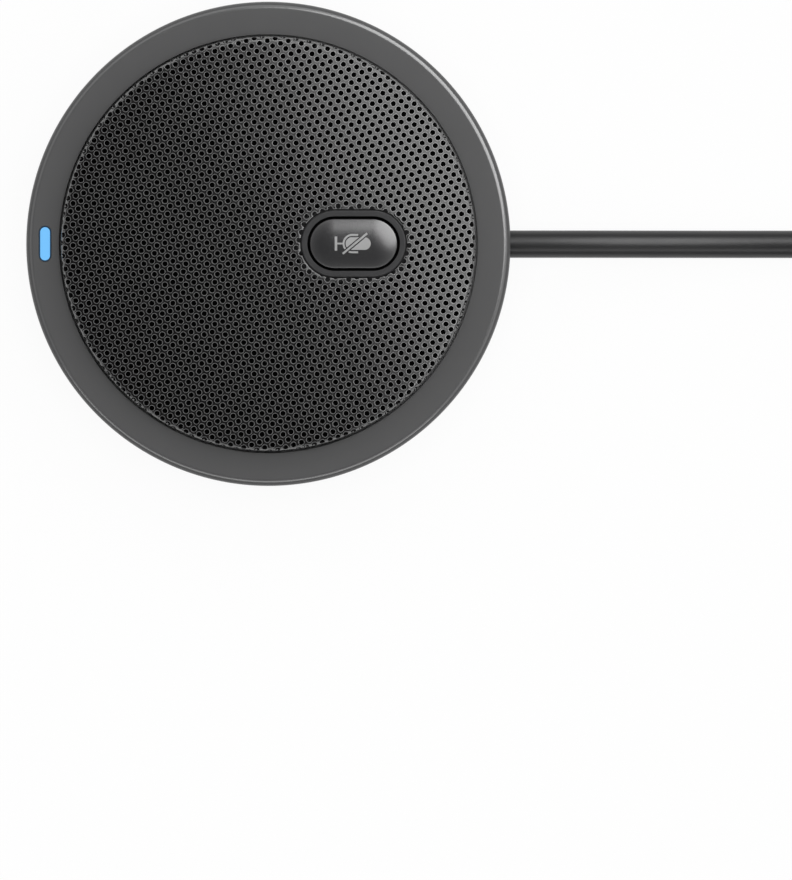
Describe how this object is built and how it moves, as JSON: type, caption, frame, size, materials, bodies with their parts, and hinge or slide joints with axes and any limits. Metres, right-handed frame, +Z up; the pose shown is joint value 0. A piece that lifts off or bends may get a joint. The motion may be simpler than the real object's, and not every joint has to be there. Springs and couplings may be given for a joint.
{
  "type": "conference microphone",
  "caption": "Low round table microphone with a perforated metal grille, an oval mute button, a status light in its ring, and a captive cord wound into a tied coil with a USB plug.",
  "frame": {"origin": "on the microphone's axis, at the height of the table that its foot ring rests on", "axes": "+Z up, +X through the wall where the cord leaves, -X through the status light; the mute button lies on the +X side of the grille"},
  "size_m": [0.242, 0.0921, 0.0201],
  "materials": {
    "ring_grey": "satin dark grey paint",
    "grille_black": "satin near-black paint on perforated sheet",
    "bezel_grey": "fine matt moulded plastic",
    "button_grey": "satin moulded plastic with a printed pictogram",
    "plastic_black": "moulded black plastic",
    "rubber_black": "soft matt rubber",
    "foam_black": "open-cell acoustic foam",
    "steel": "nickel-plated steel",
    "aluminium": "drawn aluminium can",
    "board_green": "solder mask on glass fibre board",
    "lens_blue": "clear plastic lit pale blue",
    "led_white": "white lamp package",
    "connector_cream": "cream nylon connector",
    "cord_black": "satin soft black cord sheath",
    "wire_red": "red wire insulation",
    "wire_black": "black wire insulation",
    "wire_green": "green wire insulation",
    "wire_white": "white wire insulation",
    "plug_tongue_black": "black plug insert",
    "tie_fabric": "black hook-and-loop strap"
  },
  "bodies": {
    "body": {"housing": "ring_grey", "foot_ring": "rubber_black", "base_cover": "plastic_black", "base_screw_1": "steel", "base_screw_2": "steel", "base_screw_3": "steel", "base_screw_4": "steel", "weight_plate": "steel", "grille": "grille_black", "inner_frame": "plastic_black", "foam_liner": "foam_black", "button_bezel": "bezel_grey", "switch_body": "plastic_black", "switch_dome": "steel", "mic_capsule": "aluminium", "capsule_boot": "rubber_black", "capsule_lead_plus": "wire_red", "capsule_lead_minus": "wire_black", "main_board": "board_green", "board_screw_1": "steel", "board_screw_2": "steel", "board_screw_3": "steel", "usb_audio_chip": "plastic_black", "clock_crystal": "steel", "voltage_regulator": "plastic_black", "capacitor_1": "aluminium", "capacitor_2": "aluminium", "status_led": "led_white", "light_pipe": "lens_blue", "wire_socket": "connector_cream", "wire_plug": "connector_cream", "wire_red": "wire_red", "wire_black": "wire_black", "wire_green": "wire_green", "wire_white": "wire_white", "cord_anchor": "rubber_black", "cord_clamp": "steel", "clamp_screw_1": "steel", "clamp_screw_2": "steel", "cord_run": "cord_black", "cord_coil": "cord_black", "cord_tail": "cord_black", "coil_tie_1": "tie_fabric", "coil_tie_2": "tie_fabric", "plug_body": "plastic_black", "plug_shell": "steel", "plug_tongue": "plug_tongue_black"},
    "mute_button": {"mute_button": "button_grey", "switch_plunger": "plastic_black"}
  },
  "joints": [
    {"name": "mute_button_press", "type": "slide", "parent": "body", "child": "mute_button", "axis": [0, 0, -1], "range_m": [0, 0.0006], "stiffness_N_per_m": 1500, "springref_m": -0.0003, "deforming": ["switch_dome"]}
  ]
}
